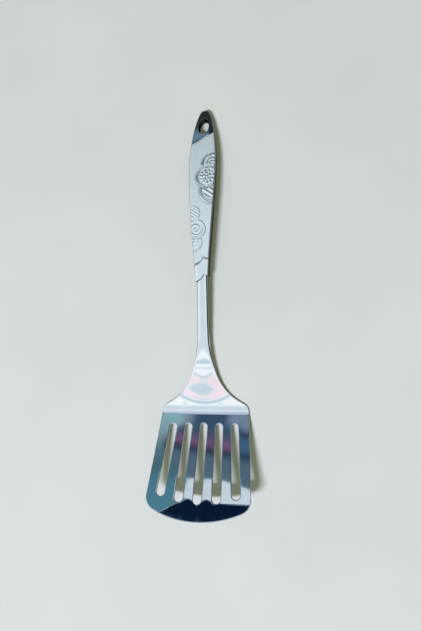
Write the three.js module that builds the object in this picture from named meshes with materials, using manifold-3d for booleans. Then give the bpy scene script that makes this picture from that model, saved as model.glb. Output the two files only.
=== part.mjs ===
// Slotted turner with a hollow handle, pressed from stainless steel sheet.
// Millimetres, +Z up. The length runs along Y: the handle towards +Y, the blade towards -Y.
// It lies as on a table: the heel of the blade and the tip of the handle rest on z = 0.

import * as THREE from 'three';
import { mergeVertices } from 'three/addons/utils/BufferGeometryUtils.js';
import Module from 'manifold-3d';

// Sheets and fits
const bladeSheet = 1.5;
const shellSheet = 0.7;
const tangFit = 0.15;
const linerFit = 0.15;
const seamFit = 0.05;

// Blade, measured flat along the sheet from the lowest line of the heel bend
const bladeLength = 92.3;
const heelWidth = 75.4;
const frontWidth = 90.5;
const frontArcRadius = 88;
const frontCornerRadius = 12;
const frontChordHalf = 2;
const bladeRise = THREE.MathUtils.degToRad(18);
const heelBendRadius = 12;

// Slots, a fan that spreads towards the front edge
const slotCount = 5;
const slotWidth = 7;
const slotHeelInset = 12.3;
const slotFrontMargin = 13.3;
const slotEndArcRadius = 97;
const slotHeelPitch = 13.3;
const slotFrontPitch = 15.7;

// Front lip, bent up from the flat of the blade ahead of the slots
const lipLength = 13;
const lipRise = THREE.MathUtils.degToRad(6);
const lipBendRadius = 15;

// Shoulder and neck: half widths of the blank, and how its edges fold down into flanges
const heelCornerReach = 2.4;
const shoulderHalf = 34;
const shoulderAt = 3.6;
const shoulderPull = new THREE.Vector2(16, 12.3);
const waistHalf = 4.95;
const waistAt = 78;
const waistPull = 52;
const neckHalf = 4.85;
const flangeBendRadius = 2.2;
const flangeLength = 4.6;
const foldStart = 15;
const foldEnd = 80;
const tangLength = 34;

// Hollow pressed across the shoulder; its middle line curves towards the handle at both sides
const hollowDepth = 0.6;
const hollowAt = 19;
const hollowReach = 20;
const hollowCurveRadius = 39;

// Handle in side view
const handleReach = 263.4;
const shoulderSlope = THREE.MathUtils.degToRad(7.15);
const shoulderSweep = 105;
const tipSlope = THREE.MathUtils.degToRad(12);
const tipSweep = 80;
const tipThickness = 5;
const taperStart = 150;

// Handle in plan and section
const gripHalf = 12;
const gripAt = 212;
const mouthPull = 26;
const gripPull = 35;
const tipPull = 20;
const tipFullness = 6.8;
const tipFlatHalf = 1;
const edgeRadius = 2.4;
const faceCrown = 0.35;
const noseReach = 2.4;
const noseInset = 1.4;
const cornerShare = 0.9;

// Pressed steps on the face: the scalloped mouth, the bright band and the ends of the grip panel
const panelRaise = 0.35;
const mouthStepAt = 106;
const bandStepAt = 121.2;
const scallopRise = 6.2;
const scallopShelf = 4.9;
const scallopBelly = 1.4;
const scallopCusp = 1.7;
const tipStepAt = 230.8;
const tipStepRise = 10.5;
const tipStepCusp = new THREE.Vector2(3.8, 7);

// Hanging hole and its liner
const hangHoleWidth = 9.2;
const hangHoleLength = 15;
const hangHoleAt = 247;
const linerWall = 0.8;

// Weld bead between the two shells
const seamWidth = 0.8;

// Fineness of the facets
const curveSteps = 7;
const arcSteps = 4;
const faceSteps = 3;
const ovalSteps = 20;
const stationGap = 0.25;
const mergeGap = 1e-4;

// Reach of the cutting prisms past the object
const clearReach = 200;

const wasm = await Module();
wasm.setup();

// Solids and meshes

function solid(geometry) {
  const bare = geometry.clone();
  bare.deleteAttribute('normal');
  bare.deleteAttribute('uv');
  const merged = mergeVertices(bare, mergeGap);
  return new wasm.Manifold(new wasm.Mesh({
    numProp: 3,
    vertProperties: new Float32Array(merged.attributes.position.array),
    triVerts: new Uint32Array(merged.index.array),
  }));
}

function geometryOf(body) {
  const mesh = body.getMesh();
  const geometry = new THREE.BufferGeometry();
  geometry.setAttribute('position', new THREE.BufferAttribute(mesh.vertProperties, 3));
  geometry.setIndex(new THREE.BufferAttribute(mesh.triVerts, 1));
  geometry.computeVertexNormals();
  return geometry;
}

// Skins a row of sections, each with an upper and a lower edge that run from left to right.
function skin(sections) {
  const columns = sections[0].upper.length;
  const loop = 2 * columns;
  const positions = [];
  const index = [];
  for (const { upper, lower } of sections) {
    for (const point of [...upper, ...lower.toReversed()]) positions.push(point.x, point.y, point.z);
  }
  for (let i = 0; i < sections.length - 1; i++) {
    for (let j = 0; j < loop; j++) {
      const a = i * loop + j;
      const b = i * loop + ((j + 1) % loop);
      index.push(a, b, b + loop, a, b + loop, a + loop);
    }
  }
  const last = (sections.length - 1) * loop;
  for (let j = 0; j < columns - 1; j++) {
    const [p, q, r, s] = [j, j + 1, loop - 2 - j, loop - 1 - j];
    index.push(p, r, q, p, s, r);
    index.push(last + p, last + q, last + r, last + p, last + r, last + s);
  }
  const geometry = new THREE.BufferGeometry();
  geometry.setAttribute('position', new THREE.Float32BufferAttribute(positions, 3));
  geometry.setIndex(index);
  return solid(geometry);
}

// Extrudes a shape both ways from its own plane, which a matrix sets in space.
function prism(shape, reach, matrix, curveSegments = 2 * curveSteps) {
  const geometry = new THREE.ExtrudeGeometry(shape, { depth: 2 * reach, bevelEnabled: false, curveSegments });
  geometry.translate(0, 0, -reach);
  return solid(geometry.applyMatrix4(matrix));
}

const planView = new THREE.Matrix4();
const sideView = new THREE.Matrix4().makeBasis(
  new THREE.Vector3(0, 1, 0), new THREE.Vector3(0, 0, 1), new THREE.Vector3(1, 0, 0),
);

// Completes a profile that runs from the middle to the right edge by its mirror image on the left.
function mirrored(profile) {
  const left = profile.slice(1).toReversed().map((point) => ({ ...point, x: -point.x, side: -1 }));
  const right = profile.map((point) => ({ ...point, side: 1 }));
  return [...left, ...right];
}

// Spine: the upper face of the blade sheet in side view, carried on through the handle to its tip

const shellRaise = shellSheet + tangFit;
const neckDepth = flangeBendRadius + flangeLength;
const gripThickness = neckDepth + 2 * shellRaise;
const bendBladeLength = heelBendRadius * bladeRise;
const bendHandleLength = heelBendRadius * shoulderSlope;

function bendPoint(angle) {
  const height = bladeSheet + heelBendRadius * (1 - Math.cos(angle));
  return new THREE.Vector2(heelBendRadius * Math.sin(angle), height);
}

function handleCurve() {
  const start = bendPoint(shoulderSlope);
  const end = new THREE.Vector2(handleReach, tipThickness - shellRaise);
  const fromStart = new THREE.Vector2(shoulderSweep, shoulderSweep * Math.tan(shoulderSlope));
  const fromEnd = new THREE.Vector2(-tipSweep, tipSweep * Math.tan(tipSlope));
  return new THREE.CubicBezierCurve(start, start.clone().add(fromStart), end.clone().add(fromEnd), end);
}

const handleSpine = handleCurve();
const handleLength = handleSpine.getLength();
const spineEnd = bendHandleLength + handleLength;

const flatEnd = lipLength - bladeLength;
const lipBendLength = lipBendRadius * lipRise;

// The spine ahead of the flat of the blade: a short bend and the straight lip.
function lipAt(along) {
  const past = flatEnd - along;
  const angle = bladeRise + Math.min(past / lipBendRadius, lipRise);
  const tangent = new THREE.Vector2(Math.cos(angle), -Math.sin(angle));
  const point = spineAt(flatEnd).point;
  point.x += lipBendRadius * (Math.sin(bladeRise) - Math.sin(angle));
  point.y += lipBendRadius * (Math.cos(bladeRise) - Math.cos(angle));
  return { point: point.addScaledVector(tangent, Math.min(lipBendLength - past, 0)), tangent };
}

// The point and the direction of the spine at a distance along the sheet from the heel.
function spineAt(along) {
  if (along < flatEnd) return lipAt(along);
  if (along < -bendBladeLength) {
    const tangent = new THREE.Vector2(Math.cos(bladeRise), -Math.sin(bladeRise));
    return { point: bendPoint(-bladeRise).addScaledVector(tangent, along + bendBladeLength), tangent };
  }
  if (along < bendHandleLength) {
    const angle = along / heelBendRadius;
    return { point: bendPoint(angle), tangent: new THREE.Vector2(Math.cos(angle), Math.sin(angle)) };
  }
  const share = Math.min((along - bendHandleLength) / handleLength, 1);
  const tangent = handleSpine.getTangentAt(share);
  const beyond = Math.max(along - spineEnd, 0);
  return { point: handleSpine.getPointAt(share).addScaledVector(tangent, beyond), tangent };
}

// Sets a point of a cross-section, across and above the spine, at its place along it.
function place(along, across, lift) {
  const { point, tangent } = spineAt(along);
  return new THREE.Vector3(across, point.x - lift * tangent.y, point.y + lift * tangent.x);
}

// A flat frame that touches the spine at one point, with its own origin shifted back along it.
function frameAt(along, lift, originAt) {
  const { tangent } = spineAt(along);
  const lengthwise = new THREE.Vector3(0, tangent.x, tangent.y);
  const upwards = new THREE.Vector3(0, -tangent.y, tangent.x);
  const origin = place(along, 0, lift).addScaledVector(lengthwise, originAt - along);
  return new THREE.Matrix4().makeBasis(new THREE.Vector3(1, 0, 0), lengthwise, upwards).setPosition(origin);
}

// Blade: one pressing that runs from the front edge through the shoulder and the neck to the tang

const heelHalf = heelWidth / 2;
const sideTaper = (frontWidth / 2 - heelHalf) / bladeLength;
const frontArcCentre = frontArcRadius - bladeLength;
const tangEnd = mouthStepAt + tangLength;

// Centre of the corner arc, which touches the straight side and the front arc from within.
function frontCorner() {
  const slant = Math.hypot(1, sideTaper);
  const inset = heelHalf - frontCornerRadius * slant;
  const b = inset * sideTaper + frontArcCentre;
  const c = inset ** 2 + frontArcCentre ** 2 - (frontArcRadius - frontCornerRadius) ** 2;
  const along = (b - Math.sqrt(b ** 2 - slant ** 2 * c)) / slant ** 2;
  return new THREE.Vector2(inset - sideTaper * along, along);
}

// The right half of the flat blank: x is the half width, y the distance along the sheet.
function halfBlank() {
  const corner = frontCorner();
  const frontStart = -Math.acos(frontChordHalf / frontArcRadius);
  const frontEnd = Math.atan2(corner.y - frontArcCentre, corner.x);
  const neckThird = (mouthStepAt - waistAt) / 3;
  const blank = new THREE.Path();
  blank.absarc(0, frontArcCentre, frontArcRadius, frontStart, frontEnd, false);
  blank.absarc(corner.x, corner.y, frontCornerRadius, frontEnd, Math.atan(sideTaper), false);
  blank.lineTo(heelHalf + sideTaper * heelCornerReach, -heelCornerReach);
  blank.quadraticCurveTo(heelHalf, heelCornerReach / 2, shoulderHalf, shoulderAt);
  blank.bezierCurveTo(shoulderPull.x, shoulderPull.y, waistHalf, waistAt - waistPull, waistHalf, waistAt);
  const neckEnd = new THREE.Vector2(neckHalf, mouthStepAt);
  blank.bezierCurveTo(waistHalf, waistAt + neckThird, neckHalf, neckEnd.y - neckThird, neckEnd.x, neckEnd.y);
  blank.lineTo(neckHalf, tangEnd);
  return withStations(blank.getPoints(curveSteps), bentStations());
}

// Distances along the sheet at which it needs a section because it bends there.
function bentStations() {
  const stations = [flatEnd, flatEnd - lipBendLength / 2, flatEnd - lipBendLength, -bendBladeLength];
  for (let i = 0; i <= 2 * arcSteps; i++) stations.push(hollowAt + hollowReach * (i / arcSteps - 1));
  return stations;
}

// Adds stations to a half outline, apart from those beside a point that it has already.
function withStations(outline, stations) {
  const fresh = stations.filter((at) => outline.every(({ y }) => Math.abs(y - at) > stationGap));
  const added = fresh.map((at) => {
    const next = outline.findIndex(({ y }) => y > at);
    const [before, after] = [outline[next - 1], outline[next]];
    return before.clone().lerp(after, (at - before.y) / (after.y - before.y));
  });
  return [...outline, ...added].sort((a, b) => a.y - b.y);
}

// Depth of the shoulder's hollow: a cosine trough along its curved middle line.
function shoulderHollow(across, along) {
  const middle = hollowAt + across ** 2 / (2 * hollowCurveRadius);
  const share = THREE.MathUtils.clamp((along - middle) / hollowReach, -1, 1);
  return hollowDepth * Math.cos((Math.PI / 2) * share) ** 2;
}

// A cross-section of the pressing, walked from its middle to its edge along the developed sheet.
// The edge folds down by an angle that grows along the neck.
function sheetSection({ x: half, y: along }) {
  const fold = (Math.PI / 2) * THREE.MathUtils.smoothstep(along, foldStart, foldEnd);
  const flange = Math.min(flangeLength, half / 2);
  const flat = half - flangeBendRadius * Math.sin(fold) - flange * Math.cos(fold);
  const bend = flangeBendRadius * fold;
  const walk = (length) => {
    const turn = THREE.MathUtils.clamp((length - flat) / flangeBendRadius, 0, fold);
    const before = Math.min(length, flat);
    const after = Math.max(length - flat - bend, 0);
    const x = before + flangeBendRadius * Math.sin(turn) + after * Math.cos(turn);
    const drop = flangeBendRadius * (1 - Math.cos(turn)) + after * Math.sin(turn);
    return { x, lift: -drop - shoulderHollow(x, along), turn };
  };
  const bendSpan = bend + (flange / 2) * Math.cos(fold);
  const profile = [];
  for (let i = 0; i < faceSteps; i++) profile.push(walk((flat * i) / faceSteps));
  for (let i = 0; i <= arcSteps; i++) profile.push(walk(flat + (bendSpan * i) / arcSteps));
  profile.push(walk(flat + bend + flange));
  const whole = mirrored(profile);
  const inner = ({ x, lift, turn, side }) => place(
    along, x - side * bladeSheet * Math.sin(turn), lift - bladeSheet * Math.cos(turn),
  );
  return { upper: whole.map(({ x, lift }) => place(along, x, lift)), lower: whole.map(inner) };
}

function slotCutter(number) {
  const order = number - (slotCount - 1) / 2;
  const radius = slotWidth / 2;
  const heelEnd = new THREE.Vector2(order * slotHeelPitch, -slotHeelInset - radius);
  const frontX = order * slotFrontPitch;
  const endDrop = slotEndArcRadius - Math.sqrt(slotEndArcRadius ** 2 - frontX ** 2);
  const frontEnd = new THREE.Vector2(frontX, slotFrontMargin + radius + endDrop - bladeLength);
  const across = heelEnd.clone().sub(frontEnd).angle() - Math.PI / 2;
  const shape = new THREE.Shape();
  shape.absarc(heelEnd.x, heelEnd.y, radius, across, across + Math.PI, false);
  shape.absarc(frontEnd.x, frontEnd.y, radius, across + Math.PI, across + 2 * Math.PI, false);
  return prism(shape, 2 * bladeSheet, frameAt(-bendBladeLength, 0, 0), curveSteps);
}

function makeBlade() {
  let blade = skin(halfBlank().map(sheetSection));
  for (let number = 0; number < slotCount; number++) blade = blade.subtract(slotCutter(number));
  return blade;
}

// Handle: a hollow body, split along its sides into a front and a back shell

const mouthHalf = neckHalf + shellRaise;
const mouthAt = mouthStepAt - noseReach;
const leastHalf = tipFlatHalf / 4;

function thicknessAt(along) {
  const taper = THREE.MathUtils.smoothstep(along, taperStart, spineEnd);
  return gripThickness + (tipThickness - gripThickness) * taper;
}

// The right half of the handle in plan: x is the half width, y the distance along the spine.
function halfHandle() {
  const outline = new THREE.Path();
  outline.moveTo(mouthHalf, mouthAt);
  outline.bezierCurveTo(mouthHalf, mouthAt + mouthPull, gripHalf, gripAt - gripPull, gripHalf, gripAt);
  outline.bezierCurveTo(gripHalf, gripAt + tipPull, tipFullness, spineEnd, tipFlatHalf, spineEnd);
  return outline.getPoints(2 * curveSteps);
}

// Upper or lower edge of a rounded section: a crowned face with a rounded corner at each side.
function faceProfile(half, level, radius, side) {
  const flat = half - radius;
  const profile = [];
  for (let i = 0; i < faceSteps; i++) profile.push({ x: (flat * i) / faceSteps, lift: level });
  for (let i = 0; i <= arcSteps; i++) {
    const turn = ((Math.PI / 2) * i) / arcSteps;
    profile.push({ x: flat + radius * Math.sin(turn), lift: level - side * radius * (1 - Math.cos(turn)) });
  }
  const crowned = ({ x, lift }) => ({ x, lift: lift + side * faceCrown * (1 - (x / half) ** 2) });
  return mirrored(profile).map(crowned);
}

// The body of the handle, grown or shrunk at its sides, top and bottom, and drawn back from the tip.
function handleBody({ sides = 0, top = 0, bottom = 0, back = 0 }) {
  const section = ({ x, y: along }) => {
    const half = Math.max(x + sides, leastHalf);
    const toNose = THREE.MathUtils.clamp((spineEnd - along) / noseReach, 0, 1);
    const nose = noseInset * (1 - Math.sqrt(1 - (1 - toNose) ** 2));
    const high = shellRaise + top - nose;
    const low = shellRaise - thicknessAt(along) - bottom + nose;
    const room = cornerShare * Math.min(half, (high - low) / 2);
    const radius = Math.min(edgeRadius + Math.min(sides, 0), room);
    const stand = ({ x: across, lift }) => place(along - back, across, lift);
    return {
      upper: faceProfile(half, high, radius, 1).map(stand),
      lower: faceProfile(half, low, radius, -1).map(stand),
    };
  };
  return skin(halfHandle().map(section));
}

// Plan shape of everything on the blade side of a scalloped line across the handle.
function belowScallop(at) {
  const shape = new THREE.Shape();
  shape.moveTo(-clearReach, at - clearReach);
  shape.lineTo(clearReach, at - clearReach);
  shape.lineTo(clearReach, at + scallopShelf);
  shape.lineTo(gripHalf / 2, at + scallopShelf);
  shape.quadraticCurveTo(2 * scallopCusp, at + scallopShelf, scallopCusp, at + scallopRise);
  shape.quadraticCurveTo(0, at + scallopBelly, -gripHalf / 2, at);
  shape.lineTo(-clearReach, at);
  return shape;
}

// Plan shape of the polished tip, beyond a waved line across the handle.
function beyondTipStep() {
  const cusp = tipStepCusp.clone().add(new THREE.Vector2(0, tipStepAt));
  const shape = new THREE.Shape();
  shape.moveTo(clearReach, tipStepAt + clearReach);
  shape.lineTo(-clearReach, tipStepAt + clearReach);
  shape.lineTo(-clearReach, tipStepAt);
  shape.lineTo(-gripHalf, tipStepAt);
  shape.quadraticCurveTo(0, cusp.y, cusp.x, cusp.y);
  shape.quadraticCurveTo(2 * cusp.x, cusp.y, gripHalf, tipStepAt + tipStepRise);
  shape.lineTo(clearReach, tipStepAt + tipStepRise);
  return shape;
}

// The solid outer form: the grip panel stands proud of the band before it and the tip beyond it.
function outerForm() {
  const lowFace = handleBody({ sides: panelRaise, bottom: panelRaise });
  const steps = prism(belowScallop(bandStepAt), clearReach, planView)
    .add(prism(beyondTipStep(), clearReach, planView))
    .subtract(lowFace);
  return handleBody({ top: panelRaise })
    .subtract(steps)
    .subtract(prism(belowScallop(mouthStepAt), clearReach, planView));
}

function hollowForm(outer) {
  const inset = -shellSheet;
  return outer.subtract(handleBody({ sides: inset, top: inset, bottom: inset, back: shellSheet }));
}

function hangHole(grow) {
  const shape = new THREE.Shape();
  shape.absellipse(0, 0, hangHoleWidth / 2 + grow, hangHoleLength / 2 + grow, 0, 2 * Math.PI);
  return prism(shape, gripThickness, frameAt(hangHoleAt, 0, hangHoleAt), ovalSteps);
}

// The line along the middle of the handle's sides, raised or lowered, in side view.
function partingLine(lift) {
  const stations = halfHandle().map(({ y }) => y);
  const ends = [mouthAt - noseReach, spineEnd + noseReach];
  return [ends[0], ...stations, ends[1]].map((along) => {
    const { y, z } = place(along, 0, shellRaise - thicknessAt(along) / 2 + lift);
    return new THREE.Vector2(y, z);
  });
}

// Side-view block between two lines, or from a line to far above or below it.
function sideBlock(lower, upper) {
  return prism(new THREE.Shape([...lower, ...upper.toReversed()]), clearReach, sideView);
}

function farLine(height) {
  return partingLine(0).map(({ x }) => new THREE.Vector2(x, height));
}

function makeHandle() {
  const outer = outerForm();
  const hollow = hollowForm(outer);
  const walls = hollow.subtract(hangHole(linerWall + linerFit));
  const seam = seamWidth / 2;
  return {
    front: walls.intersect(sideBlock(partingLine(seam), farLine(clearReach))),
    back: walls.intersect(sideBlock(farLine(-clearReach), partingLine(-seam))),
    weld: walls.intersect(sideBlock(partingLine(seamFit - seam), partingLine(seam - seamFit))),
    liner: outer.intersect(hangHole(linerWall)).subtract(hangHole(0)),
  };
}

// Assembly

function steel(color, roughness) {
  return new THREE.MeshStandardMaterial({ color, roughness, metalness: 1 });
}

function part(name, body, material) {
  const mesh = new THREE.Mesh(geometryOf(body), material);
  mesh.name = name;
  return mesh;
}

const handle = makeHandle();
const datum = new THREE.Group();
datum.add(
  part('blade', makeBlade(), steel(0xc8ccd2, 0.12)),
  part('handle_front_shell', handle.front, steel(0xc6ced6, 0.38)),
  part('handle_back_shell', handle.back, steel(0xc8ccd2, 0.16)),
  part('handle_seam_weld', handle.weld, steel(0xc2c5c9, 0.25)),
  part('hang_hole_liner', handle.liner, steel(0xb4b8be, 0.2)),
);

// The origin lies under the middle of the object, on the table.
const box = new THREE.Box3().setFromObject(datum, true);
datum.position.set(0, -(box.min.y + box.max.y) / 2, -box.min.z);

const turner = new THREE.Group();
turner.add(datum);

export default turner;
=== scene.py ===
"""A slotted turner of polished steel sheet with a hollow pressed handle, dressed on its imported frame.

Shapes are worked out in millimetres from the heel of the blade, as the sheet was laid out: `along` follows
the sheet from the heel bend towards the tip of the handle (the blade is negative), `across` runs to the
right and `lift` stands out of the upper face.
"""

import math

import bpy
import numpy as np
from mathutils import Matrix, Vector
from mathutils.geometry import delaunay_2d_cdt


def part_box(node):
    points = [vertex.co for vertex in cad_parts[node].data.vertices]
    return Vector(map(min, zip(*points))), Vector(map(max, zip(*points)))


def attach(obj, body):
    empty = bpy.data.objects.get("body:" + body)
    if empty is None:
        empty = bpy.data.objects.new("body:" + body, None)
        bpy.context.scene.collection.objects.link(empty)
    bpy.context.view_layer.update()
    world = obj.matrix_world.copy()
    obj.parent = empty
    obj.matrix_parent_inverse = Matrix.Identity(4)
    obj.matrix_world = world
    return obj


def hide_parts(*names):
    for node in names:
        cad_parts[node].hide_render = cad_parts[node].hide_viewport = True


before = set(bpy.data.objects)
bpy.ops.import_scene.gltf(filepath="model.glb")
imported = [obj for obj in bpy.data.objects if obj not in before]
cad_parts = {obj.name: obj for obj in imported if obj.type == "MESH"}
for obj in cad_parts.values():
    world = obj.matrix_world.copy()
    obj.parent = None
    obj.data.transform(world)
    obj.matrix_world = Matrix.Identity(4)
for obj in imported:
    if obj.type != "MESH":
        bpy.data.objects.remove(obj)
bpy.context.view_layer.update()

MM = 0.001

# Camera, in the row frame; the picture is taken to be 421 x 631 pixels
PICTURE_HEIGHT = 631
FOCAL_PIXELS = 581.27
SENSOR_HEIGHT = 36.0
CAMERA_AT = Vector((140.2, -70.8, 478.0))
CAMERA_TARGET = Vector((4.24, -9.04, 0.1))
CAMERA_ROLL = 0.0021
CAMERA_CLIP = 0.01

# Sheets and fits
BLADE_SHEET = 1.5
SHELL_SHEET = 0.7
TANG_FIT = 0.15
LINER_FIT = 0.15
SEAM_FIT = 0.05
SEAM_WIDTH = 0.8

# Blade
BLADE_LENGTH = 92.3
HEEL_HALF = 37.7
FRONT_HALF = 45.25
FRONT_ARC_RADIUS = 88.0
FRONT_CORNER_RADIUS = 12.0
BLADE_RISE = math.radians(18)
HEEL_BEND_RADIUS = 20.0
HEEL_BEND_EASE = 30.0
HEEL_BEND_TIGHT = 2.5
HEEL_EASE_FROM = math.radians(5)
HEEL_EASE_TO = math.radians(11.5)
SHEET_EDGE_ROUND = 0.42

# Slots
SLOT_COUNT = 5
SLOT_HEEL_RADIUS = 3.05
SLOT_FRONT_RADIUS = 3.5
SLOT_HEEL_INSET = 13.1
SLOT_FRONT_MARGIN = 13.9
SLOT_END_ARC_RADIUS = 97.0
SLOT_HEEL_PITCH = 13.3
SLOT_FRONT_PITCH = 15.7
SLOT_END_POINTS = 28
SLOT_SIDE_POINTS = 42

# Front lip, bent up ahead of the slots; its bend line runs further back between the middle slots, and
# runs out towards the left corner
LIP_REACH = 15.3
LIP_LEFT_FROM = -15.0
LIP_LEFT_SLANT = 0.5
LIP_RISE = math.radians(6)
LIP_SOFTNESS = 0.4
LIP_ARCH = 4.6
LIP_ARCH_HALF = (12.5, 17.0)

# Shoulder and neck
HEEL_CORNER_REACH = 2.4
SHOULDER_HALF = 34.0
SHOULDER_AT = 3.6
SHOULDER_PULL = (16.0, 12.3)
WAIST_HALF = 4.95
WAIST_AT = 78.0
WAIST_PULL = 52.0
NECK_HALF = 4.85
FLANGE_BEND_RADIUS = 1.7
FLANGE_LENGTH = 5.1
FLANGE_FOLD = math.radians(102)
FOLD_START = 15.0
FOLD_END = 80.0
TANG_LENGTH = 34.0
NECK_CROWN = 0.22
NECK_CROWN_START = 38.0
NECK_CROWN_END = 66.0

# Turn of the neck's folds, in radians, over which their painted shade starts
FOLD_SHADE_TURN = (0.5, 1.2)

# Form pressed into the shoulder: distance from the heel and added slope in degrees. Its lines curve towards
# the handle at both sides, and what it adds fades along the neck.
SHOULDER_FORM = [
    (2.0, 0.0),
    (3.2, -3.0),
    (5.8, -3.0),
    (7.2, 2.3),
    (10.0, 2.25),
    (24.0, 1.9),
    (38.0, 0.0),
]
SHOULDER_CURVE_RADIUS = 36.0
WING_TILT = math.radians(0.8)
SHOULDER_FADE = (38.0, 100.0)
FORM_STEP = 0.05

# Handle in side view
HANDLE_REACH = 263.4
SHOULDER_SLOPE = math.radians(7.15)
SHOULDER_SWEEP = 105.0
TIP_SLOPE = math.radians(12)
TIP_SWEEP = 80.0
TIP_THICKNESS = 5.0
TAPER_START = 150.0

# Handle in plan and section
GRIP_HALF = 12.0
GRIP_AT = 212.0
MOUTH_PULL = 26.0
GRIP_PULL = 35.0
TIP_PULL = 20.0
TIP_FULLNESS = 6.8
TIP_FLAT_HALF = 1.0
EDGE_RADIUS = 0.8
FACE_CROWN = 0.35
SIDE_LEAN = math.tan(math.radians(5))
NOSE_REACH = 2.4
NOSE_INSET = 1.4
CORNER_SHARE = 0.9
LEAST_HALF = TIP_FLAT_HALF / 4

# Pressed steps on the face, placed in plan from the heel
PANEL_RAISE = 0.45
MOUTH_STEP_AT = 106.0
BAND_STEP_AT = 121.2
SCALLOP_RISE = 6.2
SCALLOP_SHELF = 4.9
SCALLOP_BELLY = 1.4
SCALLOP_CUSP = 1.7
TIP_STEP_AT = 227.4
TIP_STEP_RISE = 13.9
TIP_STEP_BELLY = (-1.5, 3.2)
TIP_STEP_CUSP = (2.6, 8.8)
TIP_STEP_DIP = (6.0, 6.8)
LINE_POINTS = 60
STEP_RAMP = 0.5
STEP_GROOVE = 0.22
STEP_ROWS = np.array([0, 0.12, 0.25, 0.4, 0.55, 0.75, 1.0])
MOUTH_ROUND = 0.6
MOUTH_ROWS = np.array([0, 0.06, 0.2, 0.42, 0.7, 1.0, 1.6])

# Hanging hole and its liner
HOLE_HALF_WIDTH = 4.6
HOLE_HALF_LENGTH = 7.5
HOLE_AT = 247.0
LINER_WALL = 0.8
LINER_LIP = 0.2
# Share of the liner's wall, counted from inside, that carries painted shade
LINER_SHADE_SHARE = 0.5

SHELL_RAISE = SHELL_SHEET + TANG_FIT
GRIP_THICKNESS = FLANGE_BEND_RADIUS + FLANGE_LENGTH + 2 * SHELL_RAISE
MOUTH_AT = MOUTH_STEP_AT - NOSE_REACH
TANG_END = MOUTH_STEP_AT + TANG_LENGTH


# Curves

# Points of a curve that are closer than this count as one
SAME_POINT = 1e-6


def smoothstep(x, start, end):
    t = np.clip((x - start) / (end - start), 0, 1)
    return t * t * (3 - 2 * t)


def hump(x, middle, width):
    """A bell curve of height one."""
    return np.exp(-(((x - middle) / width) ** 2))


def wave(angle, middle, swing):
    return middle + swing * np.cos(angle)


def bezier(points, count):
    """Points along a Bezier curve of any degree."""
    t = np.linspace(0, 1, count)[:, None]
    level = [np.array(point, float) for point in points]
    while len(level) > 1:
        level = [a + (b - a) * t for a, b in zip(level, level[1:])]
    return level[0]


def arc(centre, radius, start, end, count):
    angle = np.linspace(start, end, count)
    return np.array(centre) + radius * np.stack([np.cos(angle), np.sin(angle)], 1)


def chain(*curves):
    """Joins curves end to end, and keeps each shared end once."""
    points = np.concatenate(curves)
    apart = np.hypot(*np.diff(points, axis=0).T) > SAME_POINT
    return points[np.concatenate([[True], apart])]


def round_trip(right_half):
    """A closed outline, counter-clockwise, from its right half, listed from front to back."""
    left_half = right_half[::-1] * (-1, 1)
    outline = chain(right_half, left_half)
    return outline[:-1] if np.allclose(outline[0], outline[-1]) else outline


def offset_loop(loop, outward):
    """Moves a closed counter-clockwise outline outwards, or inwards where outward is negative."""
    ahead = np.roll(loop, -1, 0) - loop
    behind = loop - np.roll(loop, 1, 0)
    ahead /= np.linalg.norm(ahead, axis=1)[:, None]
    behind /= np.linalg.norm(behind, axis=1)[:, None]
    normal = np.stack([ahead[:, 1] + behind[:, 1], -ahead[:, 0] - behind[:, 0]], 1)
    return loop + outward * 2 * normal / (normal**2).sum(1)[:, None]


# Spine: the upper face of the sheet in side view, from the front edge to the tip

SPINE_STEP = 0.05
SPINE_OVERRUN = (10, 5)
SPINE_CURVE_POINTS = 4001


def spine_table():
    """Distances along the spine with its angle, and with the place reached in side view."""
    bend_rise = HEEL_BEND_RADIUS * (1 - math.cos(SHOULDER_SLOPE))
    start = np.array([HEEL_BEND_RADIUS * math.sin(SHOULDER_SLOPE), BLADE_SHEET + bend_rise])
    end = np.array([HANDLE_REACH, TIP_THICKNESS - SHELL_RAISE])
    sweep = start + SHOULDER_SWEEP * np.array([1, math.tan(SHOULDER_SLOPE)])
    droop = end + TIP_SWEEP * np.array([-1, math.tan(TIP_SLOPE)])
    curve = bezier([start, sweep, droop, end], SPINE_CURVE_POINTS)
    steps = np.diff(curve, axis=0)
    lengths = np.concatenate([[0], np.cumsum(np.hypot(*steps.T))])
    middles = (lengths[1:] + lengths[:-1]) / 2
    bend_end = HEEL_BEND_RADIUS * SHOULDER_SLOPE
    before, beyond = SPINE_OVERRUN
    along = np.arange(-BLADE_LENGTH - before, bend_end + lengths[-1] + beyond, SPINE_STEP)
    ease_from = -HEEL_BEND_RADIUS * HEEL_EASE_FROM
    ease_to = ease_from - HEEL_BEND_EASE * (HEEL_EASE_TO - HEEL_EASE_FROM)
    bend_start = ease_to - HEEL_BEND_TIGHT * (BLADE_RISE - HEEL_EASE_TO)
    bend_at = [bend_start, ease_to, ease_from, bend_end]
    bend = np.interp(along, bend_at, [-BLADE_RISE, -HEEL_EASE_TO, -HEEL_EASE_FROM, SHOULDER_SLOPE])
    handle = np.interp(along - bend_end, middles, np.arctan2(steps[:, 1], steps[:, 0]))
    angle = np.where(along < bend_end, bend, handle)
    middle_angle = (angle[1:] + angle[:-1]) / 2
    stride = np.diff(along)
    ahead = np.concatenate([[0], np.cumsum(stride * np.cos(middle_angle))])
    height = np.concatenate([[0], np.cumsum(stride * np.sin(middle_angle))])
    ahead -= np.interp(0, along, ahead)
    height += BLADE_SHEET - np.interp(0, along, height)
    return along, angle, ahead, height, bend_end + lengths[-1]


SPINE_ALONG, SPINE_ANGLE, SPINE_AHEAD, SPINE_HEIGHT, SPINE_END = spine_table()


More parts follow.
